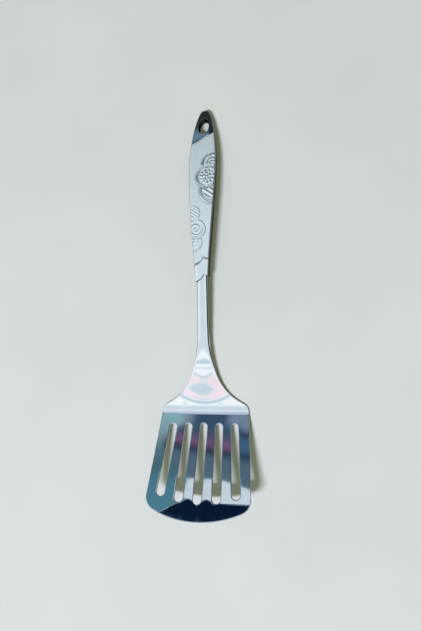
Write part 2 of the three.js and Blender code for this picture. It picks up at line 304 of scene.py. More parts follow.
def place(along, across, lift):
    """Sets points of cross-sections at their places along the spine, in millimetres from the heel."""
    angle = np.interp(along, SPINE_ALONG, SPINE_ANGLE)
    ahead = np.interp(along, SPINE_ALONG, SPINE_AHEAD)
    height = np.interp(along, SPINE_ALONG, SPINE_HEIGHT)
    return np.stack([across, ahead - lift * np.sin(angle), height + lift * np.cos(angle)], -1)


def along_at(ahead):
    """Distance along the spine at a distance from the heel in plan."""
    return np.interp(ahead, SPINE_AHEAD, SPINE_ALONG)


# Meshes

# How many points are measured at a time, and how far apart the points of a cut are told apart
CHUNK = 500
CUT_TOLERANCE = 1e-7

# Faces that meet at less than this, in degrees, are shaded as one: on sheets, and on round pieces
SMOOTH_BELOW = 38
ROUND_BELOW = 60


class Builder:
    """Collects points, in millimetres from the heel, and the faces between them."""

    def __init__(self):
        self.points = []
        self.faces = []
        self.count = 0

    def add(self, points):
        points = np.asarray(points, float)
        start = self.count
        self.points.append(points.reshape(-1, 3))
        self.count += points.size // 3
        return np.arange(start, self.count).reshape(points.shape[:-1])

    def cover(self, faces, flip=False):
        """Adds faces, each a row of points, or the same faces turned over."""
        self.faces.extend((faces[:, ::-1] if flip else faces).tolist())

    def strip(self, rows, closed=False):
        """Faces between rows of points, which run from left to right as seen from outside, upwards."""
        rows = np.asarray(rows)
        ahead = np.roll(rows, -1, 1)
        quads = np.stack([rows[:-1], ahead[:-1], ahead[1:], rows[1:]], -1)
        self.cover((quads if closed else quads[:, :-1]).reshape(-1, 4))


def inside(points, loops):
    """Even-odd test of many points against closed loops."""
    odd = np.zeros(len(points), bool)
    x, y = points.T
    for loop in loops:
        for (x0, y0), (x1, y1) in zip(loop, np.roll(loop, -1, 0)):
            if y0 == y1:
                continue
            crossing = ((y0 > y) != (y1 > y)) & (x < (x1 - x0) * (y - y0) / (y1 - y0) + x0)
            odd ^= crossing
    return odd


def nearest(points, others):
    """Distance from each point to the nearest of the others, a few hundred points at a time."""
    chunks = np.array_split(points, 1 + len(points) // CHUNK)
    return np.concatenate([np.hypot(*(chunk[:, None] - others).T).min(0) for chunk in chunks])


def triangulate(bounds, others):
    """Points, triangles between closed bounds and over other points, and the places of all that was given."""
    points = np.concatenate([*bounds, others])
    edges = []
    places = []
    start = 0
    for loop in bounds:
        index = np.arange(start, start + len(loop))
        edges.extend(zip(index.tolist(), np.roll(index, -1).tolist()))
        places.append(index)
        start += len(loop)
    places.append(np.arange(start, len(points)))
    made = delaunay_2d_cdt([Vector(point) for point in points], edges, [], 0, CUT_TOLERANCE)
    found = np.array([point[:] for point in made[0]])
    renamed = np.zeros(len(points), int)
    for new, olds in enumerate(made[3]):
        renamed[olds] = new
    triangles = np.array(made[2])
    kept = triangles[inside(found[triangles].mean(1), bounds)]
    return found, kept, [renamed[index] for index in places]


def make_piece(name, builder, node, material, smooth_below=SMOOTH_BELOW):
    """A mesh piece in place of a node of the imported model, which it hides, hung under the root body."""
    points = (np.concatenate(builder.points) + DATUM) * MM
    mesh = bpy.data.meshes.new(name)
    mesh.from_pydata(points.tolist(), [], builder.faces)
    mesh.validate()
    mesh.shade_smooth()
    mesh.set_sharp_from_angle(angle=math.radians(smooth_below))
    mesh.materials.append(material)
    piece = bpy.data.objects.new(name, mesh)
    bpy.context.scene.collection.objects.link(piece)
    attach(piece, "root")
    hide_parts(node)
    return piece


def mark(piece, name, values):
    """Gives each point of a piece a value that its material reads."""
    piece.data.attributes.new(name, "FLOAT", "POINT").data.foreach_set("value", values)


# Blade: outline of the flat blank, its slots and its folds


def plan_half_blank():
    """The blank's right half in plan: half width and distance along, from the front edge to the tang."""
    taper = (FRONT_HALF - HEEL_HALF) / BLADE_LENGTH
    centre = FRONT_ARC_RADIUS - BLADE_LENGTH
    slant = math.hypot(1, taper)
    inset = HEEL_HALF - FRONT_CORNER_RADIUS * slant
    # The corner's middle lies a corner radius inside the front arc and the side, at a root of a quadratic
    half_sum = inset * taper + centre
    rest = inset**2 + centre**2 - (FRONT_ARC_RADIUS - FRONT_CORNER_RADIUS) ** 2
    corner_at = (half_sum - math.sqrt(half_sum**2 - slant**2 * rest)) / slant**2
    corner = (inset - taper * corner_at, corner_at)
    front_end = math.atan2(corner[1] - centre, corner[0])
    front = arc((0, centre), FRONT_ARC_RADIUS, -math.pi / 2, front_end, 48)
    turn = arc(corner, FRONT_CORNER_RADIUS, front_end, math.atan(taper), 24)
    heel_corner = (HEEL_HALF + taper * HEEL_CORNER_REACH, -HEEL_CORNER_REACH)
    shoulder = (SHOULDER_HALF, SHOULDER_AT)
    waist = (WAIST_HALF, WAIST_AT)
    third = (MOUTH_STEP_AT - WAIST_AT) / 3
    neck = (NECK_HALF, MOUTH_STEP_AT)
    blade = chain(
        front,
        turn,
        bezier([turn[-1], heel_corner], 50),
        bezier([heel_corner, (HEEL_HALF, HEEL_CORNER_REACH / 2), shoulder], 16),
    )
    stem = chain(
        bezier([shoulder, SHOULDER_PULL, (WAIST_HALF, WAIST_AT - WAIST_PULL), waist], 90),
        bezier([waist, (WAIST_HALF, WAIST_AT + third), (NECK_HALF, MOUTH_STEP_AT - third), neck], 30),
        bezier([neck, (NECK_HALF, TANG_END)], 20),
    )
    return blade, stem


PLAN_BLADE, PLAN_STEM = plan_half_blank()


def fold_parts(along):
    """How the sheet's edge is folded down: fold angle, flat half width and flange length."""
    half = np.interp(along, PLAN_STEM[:, 1], PLAN_STEM[:, 0])
    fold = FLANGE_FOLD * smoothstep(along, FOLD_START, FOLD_END)
    flange = np.minimum(FLANGE_LENGTH, half / 2) * smoothstep(along, FOLD_START, FOLD_END) ** 2
    widest = np.minimum(fold, math.pi / 2)
    flat = half - FLANGE_BEND_RADIUS * np.sin(widest) - flange * np.cos(widest)
    return fold, flat, flange


def developed_outline():
    fold, flat, flange = fold_parts(PLAN_STEM[:, 1])
    stem = np.stack([flat + FLANGE_BEND_RADIUS * fold + flange, PLAN_STEM[:, 1]], 1)
    return round_trip(chain(PLAN_BLADE, stem))


def slot_ends(number):
    order = number - (SLOT_COUNT - 1) / 2
    front_x = order * SLOT_FRONT_PITCH
    drop = SLOT_END_ARC_RADIUS - math.sqrt(SLOT_END_ARC_RADIUS**2 - front_x**2)
    heel = np.array([order * SLOT_HEEL_PITCH, -SLOT_HEEL_INSET - SLOT_HEEL_RADIUS])
    front = np.array([front_x, SLOT_FRONT_MARGIN + SLOT_FRONT_RADIUS + drop - BLADE_LENGTH])
    return heel, front


SLOTS = [slot_ends(number) for number in range(SLOT_COUNT)]


def slot_loop(ends, inset):
    """A slot's outline, counter-clockwise, drawn in by an inset; it has as many points at any inset."""
    heel, front = ends
    across = math.atan2(*(heel - front)[::-1]) - math.pi / 2
    taper = math.asin((SLOT_FRONT_RADIUS - SLOT_HEEL_RADIUS) / np.linalg.norm(heel - front))
    heel_turn = (across + taper, across + math.pi - taper)
    front_turn = (across + math.pi - taper, across + 2 * math.pi + taper)
    heel_end = arc(heel, SLOT_HEEL_RADIUS - inset, *heel_turn, SLOT_END_POINTS)
    front_end = arc(front, SLOT_FRONT_RADIUS - inset, *front_turn, SLOT_END_POINTS)
    left = bezier([heel_end[-1], front_end[0]], SLOT_SIDE_POINTS)
    right = bezier([front_end[-1], heel_end[0]], SLOT_SIDE_POINTS)
    return chain(heel_end, left, front_end, right)[:-1]


def lip_lift(across, along):
    """Rise of the front lip above the flat blade."""
    arch = np.abs(np.sin(math.pi * across / SLOT_FRONT_PITCH)) - 0.5
    arch = LIP_ARCH * arch * (1 - smoothstep(np.abs(across), *LIP_ARCH_HALF))
    straight = LIP_REACH - LIP_LEFT_SLANT * np.maximum(LIP_LEFT_FROM - across, 0) - BLADE_LENGTH - along
    past = straight + arch
    return math.tan(LIP_RISE) * (past + np.sqrt(past**2 + LIP_SOFTNESS**2)) / 2


def shoulder_heights():
    """Heights that the shoulder's form adds, by distance from the heel."""
    at, slope = np.array(SHOULDER_FORM).T
    along = np.arange(at[0], at[-1] + FORM_STEP, FORM_STEP)
    return along, FORM_STEP * np.cumsum(np.tan(np.radians(np.interp(along, at, slope))))


FORM_ALONG, FORM_HEIGHT = shoulder_heights()


def shoulder_form(across, along):
    """Height that the pressed form adds to the shoulder."""
    curve = across**2 / (2 * SHOULDER_CURVE_RADIUS)
    wings = math.tan(WING_TILT) * np.clip(along, 0, FORM_ALONG[0] + curve)
    fade_start, fade_end = SHOULDER_FADE
    kept = np.clip((fade_end - along) / (fade_end - fade_start), 0, 1)
    return kept * (np.interp(along - curve, FORM_ALONG, FORM_HEIGHT) - wings)


def neck_crown(across, along, flat):
    """Slight crown of the neck's face between its folded edges."""
    crown = NECK_CROWN * smoothstep(along, NECK_CROWN_START, NECK_CROWN_END)
    return -crown * (np.minimum(np.abs(across), flat) / flat) ** 2


def sheet_point(across, along, depth):
    """Place of a point of the developed sheet, at a depth below its upper face."""
    fold, flat, _ = fold_parts(along)
    reach = np.abs(across)
    turn = np.clip((reach - flat) / FLANGE_BEND_RADIUS, 0, fold)
    before = np.minimum(reach, flat)
    after = np.maximum(reach - flat - FLANGE_BEND_RADIUS * fold, 0)
    x = before + (FLANGE_BEND_RADIUS - depth) * np.sin(turn) + after * np.cos(turn)
    drop = FLANGE_BEND_RADIUS * (1 - np.cos(turn)) + after * np.sin(turn) + depth * np.cos(turn)
    form = lip_lift(across, along) + shoulder_form(x, along) + neck_crown(across, along, flat)
    return place(along, np.sign(across) * x, form - drop)


def find_datum():
    """Where the heel lies in the row frame: the front edge meets the blade node's low end in plan."""
    low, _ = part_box("blade")
    front_edge = sheet_point(np.zeros(1), np.array([-BLADE_LENGTH]), BLADE_SHEET)[0]
    return np.array([0.0, low.y / MM - front_edge[1], 0.0])


DATUM = find_datum()

# Rows of points over the sheet, closer together where it bends: where a stretch of rows starts, the gap
# between its rows, and the gap between the points of a row
LIP_LINE = LIP_REACH - BLADE_LENGTH
SHEET_ROWS = [
    (-BLADE_LENGTH, 1.0, 1.0),
    (LIP_LINE - 4, 0.4, 0.7),
    (LIP_LINE + 4, 1.8, 1.8),
    (-8, 0.5, 2.0),
    (-6.2, 0.16, 2.0),
    (-4.6, 0.5, 2.0),
    (8, 1.0, 1.5),
    (MOUTH_STEP_AT + 6, 4.0, 2.0),
]

# Points over a bend, down a flange and round an edge; and gaps from an edge to the points along it,
# and from those to the rows
BEND_COLUMNS = 8
FLANGE_COLUMNS = 4
EDGE_STEPS = 5
RIM_GAP = 0.4
RIM_CLEAR = 0.3


def sheet_columns(along, spacing):
    """Points across the right half of the sheet that carry its fold."""
    fold, flat, flange = fold_parts(along)
    if along < FOLD_START:
        return np.arange(spacing, FRONT_HALF, spacing)
    bend = FLANGE_BEND_RADIUS * fold
    face = np.linspace(0, flat, 3 + int(flat / spacing))
    turned = flat + bend * np.linspace(0, 1, BEND_COLUMNS)
    hanging = flat + bend + flange * np.linspace(0, 1, FLANGE_COLUMNS)
    return np.concatenate([face[1:], turned[1:], hanging[1:]])


def sheet_grid(loops):
    """Points inside the sheet, clear of its edges."""
    points = []
    ends = [start for start, _, _ in SHEET_ROWS[1:]] + [TANG_END]
    for (start, step, spacing), end in zip(SHEET_ROWS, ends):
        for along in np.arange(start, end, step):
            columns = sheet_columns(along, spacing)
            for across in np.concatenate([-columns[::-1], [0], columns]):
                points.append((across, along))
    points = np.array(points)
    points = points[inside(points, loops)]
    return points[nearest(points, np.concatenate(loops)) > RIM_CLEAR]


def make_blade(material):
    """One pressing: upper and lower face over the same triangles, and rounded edges between them."""
    outline = developed_outline()
    rims = [(lambda outward: offset_loop(outline, outward), 1)]
    for ends in SLOTS:
        rims.append((lambda outward, ends=ends: slot_loop(ends, outward), -1))
    bounds = [rim(-SHEET_EDGE_ROUND) for rim, _ in rims]
    support = [rim(-SHEET_EDGE_ROUND - RIM_GAP) for rim, _ in rims]
    others = np.concatenate([*support, sheet_grid(support)])
    points, triangles, places = triangulate(bounds, others)
    builder = Builder()
    laid_out = [points, points]
    upper = builder.add(sheet_point(*points.T, 0))
    lower = builder.add(sheet_point(*points.T, BLADE_SHEET))
    builder.cover(upper[triangles])
    builder.cover(lower[triangles], flip=True)
    turn = np.linspace(0, math.pi / 2, EDGE_STEPS)
    outwards = SHEET_EDGE_ROUND * (np.sin(turn) - 1)
    depths = SHEET_EDGE_ROUND * (1 - np.cos(turn))
    profile = [*zip(outwards[1:], depths[1:]), *zip(outwards[:0:-1], BLADE_SHEET - depths[:0:-1])]
    for (rim, side), place_of in zip(rims, places):
        rings = [upper[place_of]]
        for outward, depth in profile:
            laid_out.append(rim(outward))
            rings.append(builder.add(sheet_point(*laid_out[-1].T, depth)))
        rings.append(lower[place_of])
        builder.strip(rings[::-side], closed=True)
    piece = make_piece("turner_blade", builder, "blade", material)
    across, along = np.concatenate(laid_out).T
    _, flat, _ = fold_parts(along)
    folded = np.clip((np.abs(across) - flat) / FLANGE_BEND_RADIUS, 0, math.pi / 2)
    on_neck = smoothstep(along, NECK_CROWN_START, NECK_CROWN_END)
    # Painted shade on the neck's folds, darkened as if they mirrored the table's shadow
    mark(piece, "painted_shade", smoothstep(folded, *FOLD_SHADE_TURN) * on_neck)


# Handle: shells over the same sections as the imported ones


def half_handle():
    """Half width of the handle by distance along, from its mouth to its tip."""
    mouth = np.array([SHELL_RAISE + NECK_HALF, MOUTH_AT])
    grip = np.array([GRIP_HALF, GRIP_AT])
    tip = np.array([TIP_FLAT_HALF, SPINE_END])
    ahead = np.array([0, 1])
    to_grip = bezier([mouth, mouth + MOUTH_PULL * ahead, grip - GRIP_PULL * ahead, grip], 400)
    to_tip = bezier([grip, grip + TIP_PULL * ahead, (TIP_FULLNESS, SPINE_END), tip], 600)
    return chain(to_grip, to_tip)


HANDLE_HALF = half_handle()


def handle_half(along):
    return np.interp(along, HANDLE_HALF[:, 1], HANDLE_HALF[:, 0])


def scallop(across):
    """Rise of the scalloped lines of the mouth and the band, from their left end."""
    cusp = (SCALLOP_CUSP, SCALLOP_RISE)
    right = bezier([(GRIP_HALF / 2, SCALLOP_SHELF), (2 * SCALLOP_CUSP, SCALLOP_SHELF), cusp], LINE_POINTS)
    left = bezier([cusp, (0, SCALLOP_BELLY), (-GRIP_HALF / 2, 0)], LINE_POINTS)
    line = chain(right, left)[::-1]
    return np.interp(across, line[:, 0], line[:, 1])


def tip_wave(across):
    """Rise of the waved line before the polished tip, from its left end."""
    left = bezier([(-GRIP_HALF, 0), TIP_STEP_BELLY, TIP_STEP_CUSP], LINE_POINTS)
    right = bezier([TIP_STEP_CUSP, TIP_STEP_DIP, (GRIP_HALF, TIP_STEP_RISE)], LINE_POINTS)
    line = chain(left, right)
    return np.interp(across, line[:, 0], line[:, 1])


def past_band(across, along):
    return along - along_at(BAND_STEP_AT + scallop(across))


def past_tip_line(across, along):
    return along - along_at(TIP_STEP_AT + tip_wave(across))


def panel_mask(across, along):
    """One on the raised grip panel, nought on the band before it and on the tip beyond it."""
    start = smoothstep(past_band(across, along), -STEP_RAMP / 2, STEP_RAMP / 2)
    return start * smoothstep(-past_tip_line(across, along), -STEP_RAMP / 2, STEP_RAMP / 2)


def step_grooves(across, along):
    """The fine crease that the press leaves at the foot of each step."""
    band = hump(past_band(across, along), -STEP_RAMP, STEP_RAMP)
    tip = hump(past_tip_line(across, along), STEP_RAMP, STEP_RAMP)
    return -STEP_GROOVE * (band + tip)


# Ornament: two clusters of three overlapping roundels, pressed into the panel in low relief.
# Each has its centre across and from the heel in plan, its radius, its height and its filling.
ROUNDELS = [
    (9.8, 208.8, 10.5, 0.42, "ripples"),
    (9.5, 185.2, 11.6, 0.42, "leaf"),
    (4.8, 197.6, 10.2, 0.50, "rosette"),
    (-7.8, 164.9, 7.2, 0.28, "leaf"),
    (-6.0, 139.4, 7.4, 0.28, "berries"),
    (-4.4, 151.2, 8.6, 0.32, "swirl"),
]

# A roundel from the inside out, in shares of its radius: edge of the filling, both edges of the rim, and the
# edge of what it covers; and the middle and the width of the line along the rim and of the crease round it
FIELD_SHARE = 0.74
FIELD_EDGE = (0.65, 0.71)
RIM_INNER_EDGE = (0.74, 0.79)
RIM_OUTER_EDGE = (0.96, 1.02)
COVER_EDGE = (1.02, 1.10)
RIM_LINE = (0.86, 0.03)
RIM_CREASE = (1.04, 0.04)
LINE_DEPTH = 0.5

# Fillings: how many ripples, stripes, turns, berries, petals and lobes, and how these slant or twist; and the
# middle and the width of each ring of them, in shares of the filling's radius
RIPPLES = 3
LEAF_STRIPES = 2.4
LEAF_SLANT = 0.95
SWIRL_TURNS = 2.1
BERRIES = 7
BERRY_RING = (0.62, 0.24)
BERRY_MIDDLE = (0, 0.26)
PETALS = 11
PETAL_TWIST = 6
PETAL_RING = (0.72, 0.17)
LOBES = 5
LOBE_TWIST = -5
LOBE_RING = (0.36, 0.15)
BOSS = (0, 0.14)
BOSS_HEIGHT = 0.9

# Middle and swing of the fillings' waves
SOFT_WAVE = (0.45, 0.45)
FULL_WAVE = (0.5, 0.5)
LEAF_WAVE = (0.4, 0.5)
LOBE_WAVE = (0.55, 0.45)


def filling(style, share, turn):
    """Relief inside a roundel's rim, from about nought to one, by share of the filling's radius and angle."""
    if style == "ripples":
        return wave(2 * math.pi * RIPPLES * share, *SOFT_WAVE)
    if style == "leaf":
        return wave(2 * math.pi * LEAF_STRIPES * share * np.cos(turn - LEAF_SLANT), *LEAF_WAVE)
    if style == "swirl":
        return wave(2 * math.pi * SWIRL_TURNS * share - turn, *SOFT_WAVE)
    if style == "berries":
        berries = hump(share, *BERRY_RING) * wave(BERRIES * turn, *FULL_WAVE)
        return np.maximum(berries, hump(share, *BERRY_MIDDLE))
    petals = hump(share, *PETAL_RING) * wave(PETALS * turn + PETAL_TWIST * share, *FULL_WAVE)
    lobes = hump(share, *LOBE_RING) * wave(LOBES * turn + LOBE_TWIST * share, *LOBE_WAVE)
    return petals + lobes + BOSS_HEIGHT * hump(share, *BOSS)


def ornament(across, along):
    """Height of the pressed ornament above the panel; the last roundel of a cluster lies on top."""
    relief = np.zeros(np.broadcast(across, along).shape)
    for centre, ahead, radius, height, style in ROUNDELS:
        dx = across - centre
        dy = along - along_at(ahead)
        share = np.hypot(dx, dy) / radius
        rim = smoothstep(share, *RIM_INNER_EDGE) * (1 - smoothstep(share, *RIM_OUTER_EDGE))
        creases = LINE_DEPTH * (hump(share, *RIM_LINE) + hump(share, *RIM_CREASE))
        field = filling(style, share / FIELD_SHARE, np.arctan2(dy, dx)) * (1 - smoothstep(share, *FIELD_EDGE))
        cover = 1 - smoothstep(share, *COVER_EDGE)
        relief = relief * (1 - cover) + height * (rim + field - creases) * cover
    return relief


def thickness_at(along):
    taper = smoothstep(along, TAPER_START, SPINE_END)
    return GRIP_THICKNESS + (TIP_THICKNESS - GRIP_THICKNESS) * taper


def parting_lift(along):
    return SHELL_RAISE - thickness_at(along) / 2


def section(along, side, inset):
    """Half width, face level and edge radius of a shell; side is 1 for the front and -1 for the back.

    The side walls lean in from the front face to the back one.
    """
    half = np.maximum(handle_half(along) - inset, LEAST_HALF)
    to_nose = np.clip((SPINE_END - along) / NOSE_REACH, 0, 1)
    nose = NOSE_INSET * (1 - np.sqrt(1 - (1 - to_nose) ** 2))
    rise = thickness_at(along) / 2 - nose - inset
    radius = np.minimum(EDGE_RADIUS - inset, CORNER_SHARE * np.minimum(half, rise))
    if side < 0:
        half = np.maximum(half - 2 * SIDE_LEAN * (rise - radius), LEAST_HALF)
    return half, parting_lift(along) + side * rise, radius


def face_lift(across, along, side):
    """Lift of a shell's outer face, before the steps and the ornament of the front."""
    half, level, radius = section(along, side, 0)
    over = np.clip((np.abs(across) - half + radius) / radius, 0, 1)
    crown = FACE_CROWN * (1 - np.minimum(np.abs(across) / half, 1) ** 2)
    drop = radius * (1 - np.sqrt(1 - over**2)) - crown
    return level - side * drop


def panel_lift(across, along):
    """What the steps and the ornament add to the front face."""
    mask = panel_mask(across, along)
    return PANEL_RAISE * mask + step_grooves(across, along) + mask * ornament(across, along)


# Mesh coordinates of a shell: a column is under 1 on the face, under 2 on the rounded edge and up to 3
# on the side wall, and a row is a distance along that bows with the scalloped and the waved line.
# The bow ends past the band line, and on either side of the tip line.
BAND_BOW_END = (1, 22)
TIP_BOW_END = (1, 28)
TIP_INSET_REACH = 8.0


def row_bow(across, row):
    """How far a row of the mesh bows, so that rows run along the mouth, the band line and the tip line."""
    mouth_rows = 1 - smoothstep(row - along_at(BAND_STEP_AT), *BAND_BOW_END)
    tip_rows = 1 - smoothstep(np.abs(row - along_at(TIP_STEP_AT)), *TIP_BOW_END)
    return scallop(across) * mouth_rows + tip_wave(across) * tip_rows


def bowed(column, row, side, inset=0.0):
    """About how far across a mesh point lies, and how far along its bowed row takes it."""
    half, _, radius = section(row, side, inset)
    across = np.sign(column) * np.minimum(np.abs(column), 1) * (half - radius)
    return across, row + row_bow(across, row)


def shell_point(column, row, side, inset=0.0):
    """Place of a shell's mesh point: on its outer face, or inside it by an inset."""
    _, along = bowed(column, row, side, inset)
    along = along - inset * smoothstep(row, SPINE_END - TIP_INSET_REACH, SPINE_END)
    half, level, radius = section(along, side, inset)
    reach = np.abs(column)
    turn = math.pi / 2 * np.clip(reach - 1, 0, 1)
    x = np.minimum(reach, 1) * (half - radius) + radius * np.sin(turn)
    crown = FACE_CROWN * (1 - (x / half) ** 2)
    lift = level + side * (crown - radius * (1 - np.cos(turn)))
    wall_end = parting_lift(along) + side * SEAM_WIDTH / 2
    down_wall = (lift - wall_end) * np.clip(reach - 2, 0, 1)
    lift -= down_wall
    x = np.maximum(x - SIDE_LEAN * down_wall, LEAST_HALF * np.minimum(reach, 1))
    across = np.sign(column) * x
    if inset == 0:
        from_mouth = np.clip((row - ROWS[0]) / MOUTH_ROUND, 0, 1)
        lift -= side * MOUTH_ROUND * (1 - np.sqrt(1 - (1 - from_mouth) ** 2)) * np.cos(turn)
        if side > 0:
            raised = panel_lift(across, along) * np.cos(turn)
            across = across + np.sign(column) * raised * np.sin(turn)
            lift = lift + raised * np.cos(turn)
    return place(along, across, lift)


ROW_GAP = 0.42
TIP_ROWS_REACH = 12.0
TIP_ROWS = 46


def shell_rows():
    """Rows from mouth to tip: even along the grip, close together at the steps and towards the tip."""
    mouth = float(along_at(MOUTH_STEP_AT))
    lines = [along_at(BAND_STEP_AT), along_at(TIP_STEP_AT)]
    edge = mouth + MOUTH_ROUND * MOUTH_ROWS
    grip = np.arange(edge[-1] + ROW_GAP, SPINE_END - TIP_ROWS_REACH, ROW_GAP)
    tip = SPINE_END - TIP_ROWS_REACH * np.linspace(1, 0, TIP_ROWS) ** 2
    grip = grip[np.min([np.abs(grip - line) for line in lines], axis=0) > STEP_ROWS[-1] + ROW_GAP / 2]
    close = [line + np.concatenate([-STEP_ROWS[:0:-1], STEP_ROWS]) for line in lines]
    return np.sort(np.concatenate([edge, grip, *close, tip]))


ROWS = shell_rows()
FACE_COLUMNS = np.linspace(0, 1, 29)
EDGE_COLUMNS = np.linspace(1, 2, 9)
WALL_COLUMNS = np.linspace(2, 3, 4)
COLUMNS_RIGHT = np.concatenate([FACE_COLUMNS, EDGE_COLUMNS[1:], WALL_COLUMNS[1:]])
COLUMNS = np.concatenate([-COLUMNS_RIGHT[:0:-1], COLUMNS_RIGHT])

# Mesh round the hole, in millimetres: gaps from its edge to a ring of points and to the grid, how far past
# that ring the patch of triangles reaches, and how wide a column counts in it
HOLE_RING_GAP = 0.35
HOLE_GRID_GAP = 0.6
HOLE_PATCH_REACH = 1.2
HOLE_COLUMN_WIDTH = 7.0

# Points round the hole, and rounds of the search for their rows
HOLE_POINTS = 72
HOLE_BOW_ROUNDS = 40


def hole_outline(grow, count=HOLE_POINTS):
    turn = np.linspace(0, 2 * math.pi, count, endpoint=False)
    across = (HOLE_HALF_WIDTH + grow) * np.cos(turn)
    return across, HOLE_AT + (HOLE_HALF_LENGTH + grow) * np.sin(turn)


def hole_in_mesh(grow):
    """The hole's outline in mesh coordinates of the shells."""
    across, along = hole_outline(grow)
    row = along.copy()
    for _ in range(HOLE_BOW_ROUNDS):
        row = along - row_bow(across, row)
    half, _, radius = section(along, 1, 0)
    return np.stack([across / (half - radius), row], 1)


def shell_mesh():
    """Mesh coordinates, quads, triangles round the hole and the hole's edge, shared by both shells."""
    rows, columns = np.meshgrid(ROWS, COLUMNS, indexing="ij")
    grid = np.arange(rows.size).reshape(rows.shape)
    points = np.stack([columns.ravel(), rows.ravel()], 1)
    edge_grow = LINER_WALL + LINER_FIT
    hole, ring, clear = [hole_in_mesh(edge_grow + gap) for gap in (0, HOLE_RING_GAP, HOLE_GRID_GAP)]
    ring_rows = ring[:, 1]
    reach = [ring_rows.min() - HOLE_PATCH_REACH, ring_rows.max() + HOLE_PATCH_REACH]
    first, last = np.searchsorted(ROWS, reach)
    left = np.searchsorted(COLUMNS, -1.0)
    right = np.searchsorted(COLUMNS, 1.0)
    quads = np.stack([grid[:-1, :-1], grid[:-1, 1:], grid[1:, 1:], grid[1:, :-1]], -1)
    keep = np.ones(quads.shape[:2], bool)
    keep[first:last, left:right] = False
    patch = grid[first : last + 1, left : right + 1]
    edge = np.concatenate([patch[0, :-1], patch[:-1, -1], patch[-1, :0:-1], patch[:0:-1, 0]])
    body = patch[1:-1, 1:-1].ravel()
    body = body[~inside(points[body], [clear])]
    scale = np.array([HOLE_COLUMN_WIDTH, 1.0])
    bounds = [points[edge] * scale, hole * scale]
    found, triangles, places = triangulate(bounds, np.concatenate([ring, points[body]]) * scale)
    on_hole, on_ring = len(points) + np.arange(2 * HOLE_POINTS).reshape(2, HOLE_POINTS)
    renamed = np.zeros(len(found), int)
    for place_of, index in zip(places, (edge, on_hole, np.concatenate([on_ring, body]))):
        renamed[place_of] = index
    points = np.concatenate([points, hole, ring])
    return points, grid, quads[keep], renamed[triangles], on_hole


# Finishes of a shell: columns over which the satin ends and the painted shade of the walls starts, and the
# relief at which the ornament is polished, and how much
SATIN_END = (1.0, 1.25)
WALL_SHADE_COLUMNS = (1.3, 1.7)
POLISHED_RELIEF = (0.04, 0.2)
POLISHED_SHARE = 0.75


def satin_finish(piece, column, row, outer):
    """Marks, point by point, where the front shell is satin and where it is polished."""
    across, along = bowed(column, row, 1)
    start = smoothstep(past_band(across, along), STEP_RAMP / 2, STEP_RAMP)
    end = smoothstep(-past_tip_line(across, along), STEP_RAMP / 2, STEP_RAMP)
    panel = start * end * (1 - smoothstep(np.abs(column), *SATIN_END))
    polished = POLISHED_SHARE * smoothstep(np.abs(ornament(across, along)), *POLISHED_RELIEF)
    satin = np.zeros(len(piece.data.vertices))
    satin[outer] = panel * (1 - polished)
    mark(piece, "satin", satin)


def paint_wall_shade(piece, column, outer):
    """Marks the side walls of a shell for painted shade, darkened as if mirroring the table's shadow."""
    painted_shade = np.ones(len(piece.data.vertices))
    painted_shade[outer] = smoothstep(np.abs(column), *WALL_SHADE_COLUMNS)
    mark(piece, "painted_shade", painted_shade)


def make_shell(name, node, side, material):
    """A shell of sheet: outer face, inner face, and the edges at the mouth, the seam and the hole."""
    points, grid, quads, triangles, hole = shell_mesh()
    builder = Builder()
    used = np.unique(np.concatenate([quads.ravel(), triangles.ravel()]))
    compact = np.full(len(points), -1)
    compact[used] = np.arange(len(used))
    grid, quads, triangles, hole = compact[grid], compact[quads], compact[triangles], compact[hole]
    column, row = points[used].T
    outer = builder.add(shell_point(column, row, side))
    inner = builder.add(shell_point(column, row, side, SHELL_SHEET))
    front = side > 0
    for faces in (quads, triangles):
        builder.cover(outer[faces], flip=not front)
        builder.cover(inner[faces], flip=front)
    order = 1 if front else -1
    left, right, mouth, tip = grid[:, 0], grid[:, -1], grid[0], grid[-1]
    builder.strip([inner[mouth], outer[mouth]][::order])
    builder.strip([outer[left], inner[left]][::order])
    builder.strip([inner[right], outer[right]][::order])
    builder.strip([inner[hole], outer[hole]][::-order], closed=True)
    builder.faces.append(outer[tip][::order].tolist())
    builder.faces.append(inner[tip][::-order].tolist())
    ends = [outer[tip[0]], outer[tip[-1]], inner[tip[-1]], inner[tip[0]]]
    builder.faces.append([int(i) for i in ends[::-order]])
    piece = make_piece(name, builder, node, material)
    if front:
        satin_finish(piece, column, row, outer)
    paint_wall_shade(piece, column, outer)


def seam_half(along):
    """Half width of the handle at its parting line."""
    half, level, radius = section(along, 1, 0)
    return np.maximum(half - SIDE_LEAN * (level - radius - parting_lift(along)), LEAST_HALF)


# Weld bead in section, up to its middle: how far it stands out, and its level as a share of its half height
WELD_PROFILE = [(-SHELL_SHEET, -1.0), (-0.10, -1.0), (0.0, -0.75), (0.05, -0.3)]
WELD_STEPS = 220


def make_weld(material):
    """The bead between the shells, along both sides and round the tip."""
    mouth = along_at(MOUTH_STEP_AT)
    along = mouth + (SPINE_END - mouth) * np.linspace(0, 1, WELD_STEPS) ** 0.5
    sides = []
    for hand in (1, -1):
        across = hand * seam_half(along)
        sides.append(np.stack([across, np.maximum(along, mouth + scallop(across))], 1))
    path = chain(sides[0], sides[1][::-1])
    ahead = np.gradient(path, axis=0)
    ahead /= np.linalg.norm(ahead, axis=1)[:, None]
    outward = np.stack([ahead[:, 1], -ahead[:, 0]], 1)
    height = SEAM_WIDTH / 2 - SEAM_FIT
    builder = Builder()
    rows = []
    for out, level in WELD_PROFILE + [(out, -level) for out, level in WELD_PROFILE[::-1]]:
        across, along = (path + out * outward).T
        rows.append(builder.add(place(along, across, parting_lift(path[:, 1]) + level * height)))
    rows = np.array(rows)
    builder.strip(rows.T[::-1], closed=True)
    builder.faces.append(rows[:, 0].tolist())
    builder.faces.append(rows[::-1, -1].tolist())
    make_piece("handle_weld_bead", builder, "handle_seam_weld", material, ROUND_BELOW)


